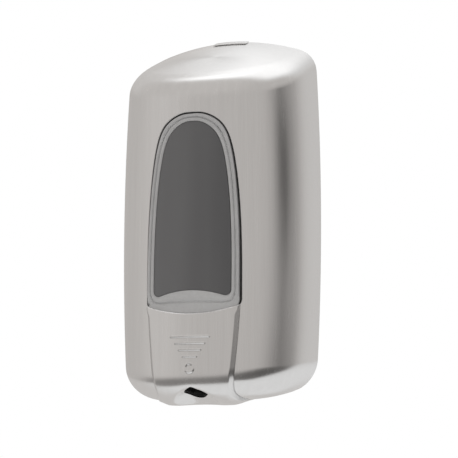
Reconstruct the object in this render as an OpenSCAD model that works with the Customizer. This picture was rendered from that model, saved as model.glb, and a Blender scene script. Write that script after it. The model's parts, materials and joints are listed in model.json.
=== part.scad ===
// Wall mounted, touch free soap dispenser: hinged metal cover, refillable tank, roller pump.
// Millimetres. The wall is the plane y = 0, the front faces -y, z is up.

/* [Cover shape] */
// half width of the cover at its widest level
half_w = 68.6; // [60:0.1:76]
// depth of the cover at the middle of its front
depth = 96.5; // [85:0.5:110]
// height of the top edge, measured before the cover is sheared
top_z = 125; // [110:0.5:140]
// height of the underside at the wall
bottom_z = -132.8; // [-145:0.1:-120]
// fall of the top towards the front, per millimetre of depth
top_slope = 0.39; // [0:0.01:0.6]
// fall of the underside towards the front, per millimetre of depth
bottom_slope = 0.13; // [0:0.01:0.3]
// radius of the rounding under the front and the sides
bottom_r = 24.5; // [10:0.5:30]
// radius of the rounding round the top
top_r = 18; // [8:0.5:26]
// extra height of the top at the middle of the wall edge
crown = 7.8; // [0:0.1:12]
// narrowing of the sides towards the top and the bottom
waist = 4.38; // [0:0.01:8]
// sheet thickness of the cover
wall = 1.6; // [1:0.1:4]

/* [Window and chin] */
// height that the window and the chin panel stand proud at the bottom
raise = 3; // [0:0.1:5]
// half width of the window opening
window_w = 35; // [28:0.5:40]
// top of the window opening
window_top = 60.8; // [50:0.1:70]
// half width of the dark pane
pane_w = 28.5; // [22:0.5:32]
// top of the dark pane
pane_top = 53.9; // [45:0.1:60]

/* [Wall fixing] */
// distance across between the screw holes
screw_dx = 88; // [60:1:110]
// height of the upper screw holes
screw_top = 98; // [90:1:104]
// height of the lower screw holes
screw_low = -52.5; // [-54:0.5:-50]
// radius of the screw holes
screw_r = 2.5; // [2:0.1:4]

/* [Hinge] */
// distance of the hinge axis from the wall
hinge_y = -12; // [-16:0.5:-9]
// height of the hinge axis
hinge_z = -128; // [-130:0.5:-124]
// radius of the hinge pins
hinge_r = 2; // [1.5:0.1:3]

/* [Tank] */
// half width of the tank
tank_w = 57; // [45:0.5:58]
// underside of the tank
tank_low = -48; // [-50:0.5:-40]
// top of the tank
tank_high = 79; // [60:0.5:80]
// wall thickness of the tank
tank_t = 2.2; // [1.5:0.1:3.5]
// radius of the filling mouth
mouth_r = 11.5; // [8:0.5:14]

/* [Pump] */
// gear module
gear_m = 0.8; // [0.6:0.1:1]
// teeth on the wheel
wheel_teeth = 40; // [30:2:44]
// teeth on the pinion
pinion_teeth = 12; // [10:1:16]
// outer radius of the rollers
roller_r = 4.2; // [3:0.1:5]
// distance of the rollers from the rotor axis
roller_orbit = 10.6; // [9:0.1:12]
// outer radius of the pump tube
tube_r = 2.5; // [2:0.1:3]

/* [Hidden] */
$fn = 48;
e = 0.01;
half_h = 132.8;
waist_z = -5;
round_exp = 4.29;
low_start = bottom_z + bottom_r;
high_start = top_z - top_r;
rotor_x = -7;
rotor_z = -88;
gear_gap = gear_m * (wheel_teeth + pinion_teeth) / 2;
motor_x = rotor_x + gear_gap * cos(45);
motor_z = rotor_z + gear_gap * sin(45);
tube_orbit = roller_orbit + roller_r + tube_r + 0.4;
tube_y = -69;
mouth_y = -40;
cap_axis_y = mouth_y + 16.3;
cap_axis_z = tank_high + 3.6;
outlet_y = -84;
nozzle_y = -79;
cell_x = 42;
cell_r = 13.1;

// colours
c_metal = [0.69, 0.67, 0.65];
c_clear = [0.78, 0.79, 0.79, 0.6];
c_dark = [0.2, 0.2, 0.21, 0.9];
c_black = [0.05, 0.05, 0.05];
c_frame = [0.24, 0.25, 0.26];
c_tank = [0.86, 0.88, 0.9, 0.6];
c_white = [0.88, 0.88, 0.86];
c_rubber = [0.1, 0.1, 0.1];
c_steel = [0.75, 0.75, 0.76];
c_brass = [0.78, 0.62, 0.3];

// ---- the curved outer surface ------------------------------------------------------------------

function clamp01(t) = min(1, max(0, t));

// half width and shear of the cover at one level
function half_at(zp) = half_w - waist * pow((zp - waist_z) / half_h, 2);
function slope_at(zp) = bottom_slope
    + (top_slope - bottom_slope) * clamp01((zp - low_start) / (high_start - low_start));

// how much of the full raise the window and the chin panel have at one level
function raise_at(zp) = raise * clamp01((96 - zp) / 176);

// one point: w and d are the half width and depth of its outline, q goes round from right to left
function shell_point(w, d, zp, q) =
    let (y = -d * pow(abs(sin(q)), 2 / round_exp))
    [w * cos(q), y, zp + slope_at(zp) * y];

// rows of the surface from the underside up: [narrowing, level], off moves the surface outwards
function low_rows(off, n) = [for (i = [0:n - 1])
    let (a = 90 - 90 * i / n)
    [bottom_r - (bottom_r + off) * cos(a), low_start - (bottom_r + off) * sin(a)]];
function mid_rows(off, n) = [for (i = [0:n]) [-off, low_start + (high_start - low_start) * i / n]];
function high_rows(off, n) = [for (i = [1:n])
    let (a = 90 * i / n)
    [top_r - (top_r + off) * cos(a), high_start + (top_r + off) * sin(a)]];

// one closed ring of points round the cover at a row, back is how far it runs past the wall plane
function ring(row, n, back) =
    let (w = half_at(row[1]) - row[0], d = depth - row[0])
    concat(
        back > 0 ? [[w, back, row[1]]] : [],
        [for (i = [0:n]) shell_point(w, d, row[1], 180 * i / n)],
        back > 0 ? [[-w, back, row[1]]] : []);

// rings that climb from the top edge to the middle of the wall edge
function crown_ring(off, s, n, back) =
    let (w = (half_at(top_z) - top_r) * s, d = (depth - top_r) * s)
    let (zp = top_z + off + crown * (1 - s * s))
    concat(
        back > 0 ? [[w, back, zp]] : [],
        [for (i = [0:n]) shell_point(w, d, zp, 180 * i / n)],
        back > 0 ? [[-w, back, zp]] : []);

function ring_faces(rows, n) = [for (j = [0:rows - 2], i = [0:n - 1], t = [0:1])
    let (a = j * n + i, b = j * n + (i + 1) % n, c = b + n, d = a + n)
    t == 0 ? [a, b, c] : [a, c, d]];

// the solid inside the surface, moved outwards by off
module pillow(off, n = 32, rows = 14, back = 0) {
    rings = concat(
        [for (r = concat(low_rows(off, 6), mid_rows(off, rows), high_rows(off, 5)))
            ring(r, n, back)],
        [for (s = [0.8, 0.55, 0.3, 0.08]) crown_ring(off, s, n, back)]);
    m = len(rings[0]);
    k = len(rings);
    polyhedron(
        points = [for (r = rings) each r],
        faces = concat(
            ring_faces(k, m),
            [[for (i = [m - 1:-1:0]) i]],
            [[for (i = [0:m - 1]) (k - 1) * m + i]]),
        convexity = 6);
}

// a strip of the front, between two surfaces; grow = 1 adds the raise of the window and chin
function strip_point(off, grow, row, q) =
    let (o = off + grow * raise_at(row[0]))
    let (zp = row[0] - (bottom_r + o) * sin(row[1]))
    let (inset = bottom_r - (bottom_r + o) * cos(row[1]))
    shell_point((half_at(zp) - inset) * row[2], (depth - inset) * row[2], zp, q);
function strip_rows(z1, z0, n) = concat(
    [[low_start, 90, 0.75]],
    [for (i = [0:5]) [low_start, 90 - 15 * i, 1]],
    [for (i = [0:n]) [z0 + (z1 - z0) * i / n, 0, 1]]);
module strip(outer, inner, grow, z1, q0 = 54, n = 16, rows = 14) {
    levels = strip_rows(z1, low_start, rows);
    m = n + 1;
    k = len(levels);
    front = [for (l = levels, i = [0:n])
        strip_point(outer, grow, l, q0 + (180 - 2 * q0) * i / n)];
    back = [for (l = levels, i = [0:n])
        strip_point(inner, grow, l, q0 + (180 - 2 * q0) * i / n)];
    half = m * k;
    polyhedron(
        points = concat(front, back),
        faces = concat(
            [for (j = [0:k - 2], i = [0:n - 1], t = [0:1])
                let (a = j * m + i, b = a + 1, c = b + m, d = a + m)
                t == 0 ? [a, b, c] : [a, c, d]],
            [for (j = [0:k - 2], i = [0:n - 1], t = [0:1])
                let (a = half + j * m + i, b = a + 1, c = b + m, d = a + m)
                t == 0 ? [a, c, b] : [a, d, c]],
            [for (j = [0:k - 2], t = [0:1])
                let (a = j * m, d = a + m)
                t == 0 ? [a, d, d + half] : [a, d + half, a + half]],
            [for (j = [0:k - 2], t = [0:1])
                let (a = j * m + n, d = a + m)
                t == 0 ? [a, d + half, d] : [a, a + half, d + half]],
            [for (i = [0:n - 1], t = [0:1])
                t == 0 ? [i, i + half, i + 1 + half] : [i, i + 1 + half, i + 1]],
            [for (i = [0:n - 1], t = [0:1])
                let (a = (k - 1) * m + i)
                t == 0 ? [a, a + 1, a + 1 + half] : [a, a + 1 + half, a + half]]),
        convexity = 6);
}

// ---- outlines of the front, drawn in x and z ---------------------------------------------------

// half width of an arch at one level, p makes its shoulders fuller or rounder
function arch_x(w, p, z0, z1, z) =
    w * pow(max(0, 1 - pow((z - z0) / (z1 - z0), 2)), p) * (1 - 0.42 * exp((z - z1) / 4.5));
function arch_side(w, p, z1, low, n, out) = [for (i = [0:n])
    let (z = low + (z1 - low) * sin(90 * i / n))
    [arch_x(w, p, -50, z1, max(z, -50)) + (i < n ? out : 0), z + (i == n ? out : 0)]];

// window opening: an arch on a sagging lower edge, grown by out
module opening_2d(out) {
    side = arch_side(window_w, 0.22, window_top, -75, 20, out);
    low = [for (i = [-6:6]) [i * (window_w + out) / 6.2, -81.5 + 6 * pow(i / 6, 2) - out]];
    polygon(concat(low, side, [for (i = [len(side) - 2:-1:0]) [-side[i][0], side[i][1]]]));
}

// dark pane: an arch on a rising lower edge with rounded corners, grown by out
module pane_2d(out) {
    side = arch_side(pane_w, 0.25, pane_top, -65.5, 20, out);
    w = pane_w + out;
    low = [for (i = [-5:5]) [i * (w - 4.5) / 5, -65.7 - 3.9 * pow(i / 5, 2) - out]];
    corner = [for (a = [-70:20:-10]) [w - 4 + 4 * cos(a), -65.8 - out + 4 * sin(a)]];
    polygon(concat(low, corner, side,
        [for (i = [len(side) - 2:-1:0]) [-side[i][0], side[i][1]]],
        [for (i = [len(corner) - 1:-1:0]) [-corner[i][0], corner[i][1]]]));
}

// chin panel: narrows downwards and runs under the chin
function chin_x(z) = 34.4 - 0.06 * (-76 - z) - 0.0005 * pow(-76 - z, 2);
module chin_2d() {
    top = [for (i = [6:-1:-6]) [i * 34.4 / 6, -82.1 + 6 * pow(i / 6, 2)]];
    polygon(concat(top,
        [for (z = [-80:-6:-146]) [-chin_x(z), z]], [[-27.5, -152], [27.5, -152]],
        [for (z = [-146:6:-80]) [chin_x(z), z]]));
}

// moves a drawing from x and z into space, filling it from y1 forward to y0
module upright(y0, y1) {
    translate([0, y1, 0]) rotate([90, 0, 0]) linear_extrude(y1 - y0) children();
}

// sign over the sensor: four bars and a ring
module icon_2d() {
    for (b = [[-98.1, 13.8], [-102.7, 10.5], [-107.3, 7.75], [-112, 4.75]])
        rounded_2d(-b[1], b[0] - 0.65, b[1], b[0] + 0.65, 0.6);
    translate([0, -120]) difference() {
        circle(3.7);
        circle(2.4);
    }
}

// oval outlet opening in the chin, seen from below, grown by out
module outlet_hole(out, z0, z1) {
    translate([0, outlet_y, z0]) linear_extrude(z1 - z0)
        polygon([for (a = [0:10:350]) [(7.3 + out) * sin(a), (12.3 + out) * cos(a)]]);
}

module rounded_2d(x0, y0, x1, y1, r) {
    translate([x0 + r, y0]) square([x1 - x0 - 2 * r, y1 - y0]);
    translate([x0, y0 + r]) square([x1 - x0, y1 - y0 - 2 * r]);
    for (x = [x0 + r, x1 - r], y = [y0 + r, y1 - r])
        translate([x, y]) circle(r);
}

module box(x0, y0, z0, x1, y1, z1) {
    translate([x0, y0, z0]) cube([x1 - x0, y1 - y0, z1 - z0]);
}

// round bars along each axis, from the low end
module bar_x(x, y, z, r, l) {
    translate([x, y, z]) rotate([0, 90, 0]) cylinder(r = r, h = l);
}
module bar_y(x, y, z, r, l) {
    translate([x, y, z]) rotate([-90, 0, 0]) cylinder(r = r, h = l);
}
module bar_z(x, y, z, r, l) {
    translate([x, y, z]) cylinder(r = r, h = l);
}

// ---- frame on the wall -------------------------------------------------------------------------

module hinge_ear(x) {
    bar_x(x, hinge_y, hinge_z, 3.4, 6);
    box(x, hinge_y - 3.4, hinge_z, x + 6, -2.5, -118.3);
    box(x - 1, -3, hinge_z, x + 7, 0, -110);
}

module back_plate() {
    color(c_frame) difference() {
        union() {
            upright(-3, 0) rounded_2d(-62, -113, 62, 113, 12);
            for (x = [31, -37]) hinge_ear(x);
            for (x = [-1, 1], z = [screw_low, screw_top])
                bar_y(x * screw_dx / 2, -4, z, 4.4, 2);
            // foot of the lock keeper
            box(18, -3, 104, 34, 0, 122);
            // lips that guide the tank
            for (x = [-61, 58.5]) box(x, -30, 10, x + 2.5, -2.5, 60);
        }
        for (x = [-1, 1], z = [screw_low, screw_top])
            bar_y(x * screw_dx / 2, -6, z, screw_r, 8);
        for (x = [30.5, -37.5]) bar_x(x, hinge_y, hinge_z, hinge_r, 7);
    }
}

// keeper for the lock bolt
module lock_keeper() {
    color(c_steel) difference() {
        union() {
            box(24, -16.2, 110, 28.5, -3.02, 121.2);
            box(19, -4.6, 107, 33, -3.02, 121.2);
        }
        box(23, -14.6, 115.7, 30, -9.2, 120);
    }
}

module hinge_pin(x) {
    color(c_steel) union() {
        bar_x(x, hinge_y, hinge_z, hinge_r, 15.5);
        bar_x(x < 0 ? x - 1.2 : x + 15.5, hinge_y, hinge_z, 3, 1.2);
    }
}
module hinge_pin_left() { hinge_pin(-37.4); }
module hinge_pin_right() { hinge_pin(21.9); }

// ---- pump module -------------------------------------------------------------------------------

module case_2d(w, back, corner, front) {
    polygon([[-w, back], [w, back], [w, -48], [corner, front], [-corner, front], [-w, -48]]);
}

module module_case() {
    color(c_frame) difference() {
        translate([0, 0, -118]) linear_extrude(61) case_2d(58.5, -3.2, 54, -58.4);
        // battery bays, open at the front
        for (s = [0, 1]) mirror([s, 0, 0]) translate([0, 0, -115.5]) linear_extrude(56)
            polygon([[28.3, -5], [55.7, -5], [55.7, -49], [52, -60], [28.3, -60]]);
        // gear bay, open at the front
        box(-25, -70, -115.5, 25, -6, -59.5);
        // room for the lower corners of the cover as it swings
        for (s = [0, 1]) mirror([s, 0, 0]) box(50.4, -21, -119, 60, -2, -115.2);
        // wire slots and the switch and button holes
        for (s = [-1, 1]) bar_x(s * 26.6 - 3, -12, -64, 2.5, 6);
        box(16, -38.5, -60, 22, -29.5, -56);
        bar_z(-8, -34, -60, 3.2, 4);
        bar_z(-16, -34, -60, 2.1, 4);
    }
    color(c_frame) for (z = [-111.5, -63.5]) difference() {
        union() {
            bar_y(21, -58.4, z, 3.4, 7.4);
            box(21, -58.4, z - 1.2, 25.4, -51, z + 1.2);
        }
        bar_y(21, -59, z, 1.6, 8);
    }
}

module gear_plate() {
    color(c_white) difference() {
        box(-25, -60.4, -115.5, 25, -58.4, -59.5);
        bar_y(rotor_x, -62, rotor_z, 3.06, 6);
        for (z = [-111.5, -63.5]) bar_y(21, -62, z, 1.6, 6);
    }
}

module motor() {
    color(c_steel) difference() {
        union() {
            bar_y(motor_x, -48, motor_z, 11.8, 28);
            bar_y(motor_x, -49.5, motor_z, 3.2, 3);
            bar_y(motor_x, -21, motor_z, 3.2, 3);
        }
        bar_y(motor_x, -50, motor_z, 1.06, 12);
    }
}

module pump_head() {
    color(c_frame) difference() {
        union() {
            bar_y(rotor_x, -75.6, rotor_z, tube_orbit + tube_r + 2.8, 15);
            box(-13, -75.6, -117, 14, -60.6, -100);
            box(-30.5, -75.6, -88, -13, -60.6, -57.2);
        }
        bar_y(rotor_x, -77, rotor_z, tube_orbit + tube_r + 0.25, 14);
        bar_y(rotor_x, -66, rotor_z, 3.3, 8);
        // channels for the tube
        box(-27.8, -77, -89, -21.6, -63, -56);
        box(-7, -77, -108.6, 4, -63, -102);
        box(-3, -77, -119, 3, -63, -106);
        box(-5.2, -77, -111.5, 3, -63, -104);
        box(-6, -77, -120, 6, -63, -114.2);
    }
}

module pump_lid() {
    color(c_clear) difference() {
        union() {
            bar_y(rotor_x, -78, rotor_z, tube_orbit + tube_r + 2.8, 2.2);
            box(-30.5, -78, -88, -13, -75.8, -66);
        }
        bar_y(rotor_x, -79, rotor_z, 4, 5);
    }
}

module tube_path(r) {
    bar_z(rotor_x - tube_orbit, tube_y, rotor_z, r, 31);
    translate([rotor_x, tube_y, rotor_z]) rotate([90, 0, 0]) rotate([0, 0, 180])
        rotate_extrude(angle = 90) translate([tube_orbit, 0]) circle(r);
    translate([rotor_x, tube_y, rotor_z - tube_orbit - 7]) rotate([90, 0, 0])
        rotate_extrude(angle = 90) translate([7, 0]) circle(r);
    bar_z(rotor_x + 7, tube_y, -121, r, 121 + rotor_z - tube_orbit - 7);
}

module delivery_tube() {
    color(c_white) difference() {
        tube_path(tube_r);
        tube_path(tube_r - 0.9);
        bar_z(rotor_x - tube_orbit, tube_y, rotor_z + 30, tube_r - 0.9, 2);
        bar_z(0, tube_y, -122, tube_r - 0.9, 2);
    }
}

module nozzle() {
    color(c_black) difference() {
        union() {
            bar_z(0, tube_y, -129, 5, 11.4);
            box(-5, nozzle_y, -129, 5, tube_y, -122);
            bar_z(0, nozzle_y, -129, 5, 7);
            translate([0, nozzle_y, -136.6]) cylinder(r1 = 2.8, r2 = 4.2, h = 7.8);
        }
        bar_z(0, tube_y, -122.5, tube_r, 6);
        bar_z(0, tube_y, -126, 1.5, 6);
        bar_y(0, nozzle_y, -126, 1.5, 10);
        bar_z(0, nozzle_y, -138, 1.5, 12);
    }
}

module tank_socket() {
    color(c_white) difference() {
        union() {
            bar_z(rotor_x - tube_orbit, tube_y, -57, 8, 4);
            box(-38, -64, -56.8, -12, -54, -54.8);
            box(-34, tube_y, -56.8, -16, -56, -54.8);
        }
        bar_z(rotor_x - tube_orbit, tube_y, -55, 5.4, 4);
        bar_z(rotor_x - tube_orbit, tube_y, -58, tube_r, 5);
    }
}

module sensor_board() {
    color([0.1, 0.32, 0.2]) union() {
        for (x = [-11.5, 6.3]) box(x, -91, -124.6, x + 5.2, -66, -123.2);
        box(-11.5, -91, -124.6, 11.5, -85.6, -123.2);
        for (x = [-11, 8]) box(x, -75, -123.3, x + 3, -67.5, -117);
    }
}

module sensor_eyes() {
    color(c_black) for (x = [-4, 4]) union() {
        bar_z(x, -88.4, -127.4, 2.4, 2.8);
        translate([x, -88.4, -127.4]) sphere(r = 2.4);
    }
}

module control_board() {
    color([0.1, 0.32, 0.2]) union() {
        box(-23, -50, -114.2, 23, -12, -112.6);
        box(-18, -30, -112.7, -8, -20, -110.6);
        box(4, -26, -112.7, 12, -16, -109.5);
        bar_z(16, -40, -112.7, 3, 5);
    }
}

module status_lamp() {
    color([0.85, 0.9, 0.85]) union() {
        bar_z(-16, -34, -62.5, 2, 7);
        bar_z(-16, -34, -63.5, 2.6, 2.5);
    }
}

module cell(x, y) {
    color([0.72, 0.6, 0.34]) union() {
        bar_z(x, y, -112, cell_r, 48.6);
        bar_z(x, y, -63.5, 3.3, 1.5);
    }
}
module cell_a() { cell(-cell_x, -18.6); }
module cell_b() { cell(-cell_x, -45); }
module cell_c() { cell(cell_x, -18.6); }
module cell_d() { cell(cell_x, -45); }

module contact_springs() {
    color(c_steel) for (x = [-cell_x, cell_x], y = [-18.6, -45]) {
        for (i = [0:2]) translate([x, y, -114.6 + i * 0.95]) rotate_extrude()
            translate([6 - i * 1.1, 0]) circle(0.45);
        box(x - 6, y - 1.5, -115.5, x + 6, y + 1.5, -115);
        box(x - 0.5, y + 2.5, -115.1, x + 0.5, y + 6.2, -112.2);
    }
}

module contact_plates() {
    color(c_steel) for (x = [-cell_x, cell_x])
        box(x - 6, -52, -60.3, x + 6, -12, -59.6);
    color(c_steel) for (x = [-cell_x, cell_x], y = [-18.6, -45])
        bar_z(x, y, -61.9, 4, 1.8);
}

module screw_head(x, z, y) {
    difference() {
        union() {
            bar_y(x, y - 2, z, 3, 2);
            bar_y(x, y, z, 1.6, 6);
        }
        box(x - 2.2, y - 2.5, z - 0.4, x + 2.2, y - 1.1, z + 0.4);
        box(x - 0.4, y - 2.5, z - 2.2, x + 0.4, y - 1.1, z + 2.2);
    }
}
module case_screws() {
    color(c_steel) {
        screw_head(21, -111.5, -60.4);
        screw_head(21, -63.5, -60.4);
    }
}

// ---- moving parts of the pump ------------------------------------------------------------------

function tooth_points(n, m) = [for (i = [0:n - 1], k = [0:3])
    let (p = 360 / n, pitch = m * n / 2)
    let (r = k == 0 || k == 3 ? pitch - 1.2 * m : pitch + 0.85 * m)
    let (a = p * i + (k == 0 ? -0.31 : k == 1 ? -0.11 : k == 2 ? 0.11 : 0.31) * p)
    [r * cos(a), r * sin(a)]];

module gear_2d(n, m) { polygon(tooth_points(n, m)); }

module gear_wheel() {
    color(c_white) difference() {
        translate([rotor_x, -51.5, rotor_z]) rotate([90, 0, 0])
            linear_extrude(5) gear_2d(wheel_teeth, gear_m);
        bar_y(rotor_x, -58, rotor_z, 2.5, 8);
        for (a = [0:60:300])
            bar_y(rotor_x + 9 * cos(a), -58, rotor_z + 9 * sin(a), 2.6, 8);
    }
}

module pinion() {
    color(c_brass) union() {
        translate([motor_x, -51, motor_z]) rotate([90, 0, 0])
            linear_extrude(6) gear_2d(pinion_teeth, gear_m);
        bar_y(motor_x, -57.4, motor_z, 1, 18);
    }
}

module rotor() {
    color(c_white) difference() {
        union() {
            bar_y(rotor_x, -65.2, rotor_z, 13.4, 1.8);
            bar_y(rotor_x, -75.2, rotor_z, 13.4, 1.8);
            bar_y(rotor_x, -77.6, rotor_z, 3, 26);
            for (a = [90:120:330])
                bar_y(rotor_x + roller_orbit * cos(a), -75, rotor_z + roller_orbit * sin(a), 1.5, 11.4);
        }
        bar_y(rotor_x, -56.6, rotor_z, 5, 5.6);
    }
    color(c_white) bar_y(rotor_x, -58, rotor_z, 2.5, 7.2);
}

module roller(a) {
    color(c_black) difference() {
        bar_y(rotor_x + roller_orbit * cos(a), -73.2, rotor_z + roller_orbit * sin(a), roller_r, 7.8);
        bar_y(rotor_x + roller_orbit * cos(a), -74, rotor_z + roller_orbit * sin(a), 1.56, 10);
    }
}
module roller_a() { roller(90); }
module roller_b() { roller(210); }
module roller_c() { roller(330); }

module battery_door(s) {
    color(c_frame) difference() {
        union() {
            box(s > 0 ? 28.8 : -53.6, -60.3, -116, s > 0 ? 53.6 : -28.8, -58.8, -59);
            for (z = [-76, -72, -68])
                box(s * 41.2 - 8, -61.6, z, s * 41.2 + 8, -60.6, z + 1.5);
        }
        box(s * 41.2 - 5, -62, -63, s * 41.2 + 5, -60, -61);
    }
}
module door_left() { battery_door(-1); }
module door_right() { battery_door(1); }

module switch_knob() {
    color(c_black) union() {
        box(16.4, -37.5, -59.3, 21.6, -34.5, -54.5);
        box(14.4, -38.6, -61.4, 23.6, -33.4, -60.2);
        box(16.4, -37.5, -60.4, 21.6, -34.5, -59);
    }
}

module prime_button() {
    color([0.2, 0.35, 0.6]) union() {
        bar_z(-8, -34, -61, 3, 6.5);
        bar_z(-8, -34, -61.5, 3.8, 1.8);
    }
}

// ---- tank --------------------------------------------------------------------------------------

module tank_2d(g) {
    polygon([[-tank_w + g, -7.5 - g], [tank_w - g, -7.5 - g], [tank_w - g, -56 + 0.4 * g],
        [tank_w - 4 - 0.9 * g, -65 + 0.7 * g], [tank_w - 12 - 0.5 * g, -73 + 0.9 * g],
        [tank_w - 22, -76 + g], [-tank_w + 22, -76 + g],
        [-tank_w + 12 + 0.5 * g, -73 + 0.9 * g], [-tank_w + 4 + 0.9 * g, -65 + 0.7 * g],
        [-tank_w + g, -56 + 0.4 * g]]);
}

module tank() {
    color(c_tank) difference() {
        union() {
            translate([0, 0, tank_low]) linear_extrude(tank_high - tank_low) tank_2d(0);
            bar_z(0, mouth_y, tank_high - 1, mouth_r + 2.2, 3.4);
            bar_z(rotor_x - tube_orbit, tube_y, -54.6, 3.9, 8);
            for (x = [-9, 5]) {
                box(x, cap_axis_y - 2.4, tank_high - 1, x + 4, cap_axis_y + 2.4, cap_axis_z);
                bar_x(x, cap_axis_y, cap_axis_z, 2.4, 4);
            }
        }
        difference() {
            translate([0, 0, tank_low + tank_t])
                linear_extrude(tank_high - tank_low - 2 * tank_t) tank_2d(tank_t);
            box(-24, -10.4, tank_low, -21, -7, tank_high);
            box(21, -10.4, tank_low, 24, -7, tank_high);
        }
        bar_z(0, mouth_y, tank_high - 5, mouth_r, 9);
        bar_z(rotor_x - tube_orbit, tube_y, -56, 2, 12);
        bar_x(-10, cap_axis_y, cap_axis_z, 1.2, 20);
        // shallow finger grips in the sides of the back edge
        for (x = [-tank_w, tank_w]) bar_z(x, -20, 30, 1, 30);
    }
}

module outlet_seal() {
    color(c_rubber) translate([rotor_x - tube_orbit, tube_y, -53.8])
        rotate_extrude() translate([4.4, 0]) circle(0.7);
}

module cap_pin() {
    color(c_steel) bar_x(-9.4, cap_axis_y, cap_axis_z, 1.2, 18.8);
}

module fill_cap() {
    color(c_white) difference() {
        union() {
            bar_z(0, mouth_y, tank_high + 2.8, mouth_r + 2.4, 2.2);
            bar_z(0, mouth_y, tank_high - 1, mouth_r - 1.2, 4);
            bar_x(-4.7, cap_axis_y, cap_axis_z, 2.4, 9.4);
            box(-4.7, mouth_y + 11, tank_high + 2.8, 4.7, cap_axis_y, tank_high + 5);
            box(-6, mouth_y - 17, tank_high + 3.4, 6, mouth_y - 12, tank_high + 5);
        }
        bar_x(-6, cap_axis_y, cap_axis_z, 1.26, 12);
        bar_z(0, mouth_y, tank_high - 2, mouth_r - 2.8, 4.4);
    }
}

module cap_gasket() {
    color(c_rubber) translate([0, mouth_y, tank_high + 2.62]) rotate_extrude()
        translate([mouth_r - 0.4, -0.18]) square([2, 0.36]);
}

// ---- cover -------------------------------------------------------------------------------------

module cover_lug(x) {
    box(x, hinge_y - 3.4, hinge_z - 5, x + 6.4, hinge_y + 3.4, hinge_z);
    bar_x(x, hinge_y, hinge_z, 3.4, 6.4);
}

module cover() {
    color(c_metal) difference() {
        union() {
            difference() {
                pillow(0);
                pillow(-wall, back = 2);
            }
            intersection() {
                for (x = [24.2, -30.6]) cover_lug(x);
                pillow(-0.5);
            }
        }
        // clear of the wall, at rest and all the way down
        box(-80, -0.6, -160, 80, 3, 160);
        difference() {
            box(-80, hinge_y, hinge_z - 20, 80, 3, hinge_z);
            bar_x(-80, hinge_y, hinge_z, 8.2, 160);
        }
        for (x = [30.4, -37.6]) box(x, hinge_y, -150, x + 7.2, 3, -126);
        upright(-120, -60) opening_2d(0);
        outlet_hole(0, -155, -120);
        for (x = [23, -38]) bar_x(x, hinge_y, hinge_z, hinge_r + 0.05, 15);
        // slot for the neck of the lock slider
        box(-5.4, -10.4, 112, 8.6, -3.6, 140);
    }
}

module window_bezel() {
    color(c_clear) difference() {
        intersection() {
            strip(0.3, -2.8, 1, 102);
            upright(-120, -60) opening_2d(-0.35);
        }
        upright(-120, -60) pane_2d(0.1);
    }
}

module window_pane() {
    color(c_dark) intersection() {
        strip(-0.3, -2.8, 1, 94);
        upright(-120, -60) pane_2d(-0.1);
    }
}

module window_gasket() {
    color(c_rubber) difference() {
        intersection() {
            strip(-2.9, -4.4, 1, 102, rows = 10);
            upright(-120, -60) opening_2d(-1);
        }
        upright(-120, -60) pane_2d(-1.5);
    }
}

module chin_panel() {
    color(c_metal) difference() {
        intersection() {
            strip(0.05, 0.02 - raise, 1, -48, q0 = 30, n = 20, rows = 6);
            upright(-120, -58) chin_2d();
        }
        outlet_hole(0, -155, -120);
    }
}

// the lines of the sign stand a little above the face of the chin
module sensor_icon() {
    color(c_metal) intersection() {
        strip(0.6, -0.4, 1, -68, q0 = 74, n = 8, rows = 8);
        upright(-120, -60) icon_2d();
    }
}

// cup behind the outlet opening, see-through for the sensor, open for the nozzle
module outlet_cup() {
    color(c_black) difference() {
        intersection() {
            outlet_hole(-0.25, -150, -131);
            strip(-0.3, -14, 1, -68, q0 = 60, n = 10, rows = 6);
        }
        difference() {
            outlet_hole(-1.4, -155, -130);
            multmatrix([[1, 0, 0, 0], [0, 1, 0, 0], [0, -0.17, 1, -149.2], [0, 0, 0, 1]])
                box(-10, -100, 0, 10, -60, 20);
        }
        multmatrix([[1, 0, 0, 0], [0, 1, 0, 0], [0, -0.17, 1, -147.7], [0, 0, 0, 1]])
            box(-10, -100, 0, 10, -60, 20);
        bar_z(0, nozzle_y, -150, 4.9, 30);
    }
}

module lock_guide() {
    color(c_frame) union() {
        box(-22, -21.6, 113.9, 20, -5, 116.7);
        intersection() {
            union() {
                box(-22, -21.6, 113.9, 22, -19.4, 126);
                box(-24, -21.6, 113.9, -22, -5, 130);
            }
            pillow(-wall + 0.4);
        }
    }
}

module lock_slider() {
    color(c_steel) union() {
        box(-16, -18.4, 117, 16, -6.6, 119.3);
        box(15, -14, 117, 23.4, -10, 119.3);
        // neck through the slot
        intersection() {
            box(-5, -10, 117, 5, -4, 140);
            pillow(0.8);
        }
        // thumb piece, lying on the crown
        difference() {
            intersection() {
                box(-13, -11, 120, 13, -1, 140);
                pillow(1.15);
            }
            pillow(0.45);
        }
    }
}

back_plate();
lock_keeper();
hinge_pin_left();
hinge_pin_right();
module_case();
gear_plate();
motor();
pump_head();
pump_lid();
delivery_tube();
nozzle();
tank_socket();
sensor_board();
sensor_eyes();
control_board();
status_lamp();
cell_a();
cell_b();
cell_c();
cell_d();
contact_springs();
contact_plates();
case_screws();
tank();
outlet_seal();
cap_pin();
fill_cap();
cap_gasket();
cover();
window_bezel();
window_pane();
window_gasket();
chin_panel();
sensor_icon();
outlet_cup();
lock_guide();
lock_slider();
rotor();
gear_wheel();
pinion();
roller_a();
roller_b();
roller_c();
door_left();
door_right();
switch_knob();
prime_button();
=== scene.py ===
"""Looks of the wall mounted soap dispenser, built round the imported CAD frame.

The cover, window, chin with its sign, outlet and lock are fine meshes drawn on the same curved surface as
the CAD solids. They differ from them in places: the chin widens at its lower sides and sinks to the cover
there, the outlet is a wider lens, and the window frame has rolls, grooves and a gap to the cover.
Every other piece is the CAD solid itself with a material.
Lengths in this file are millimetres until a mesh is made; the wall is y = 0, the front faces -y, z is up.
"""

import json
import math

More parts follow.
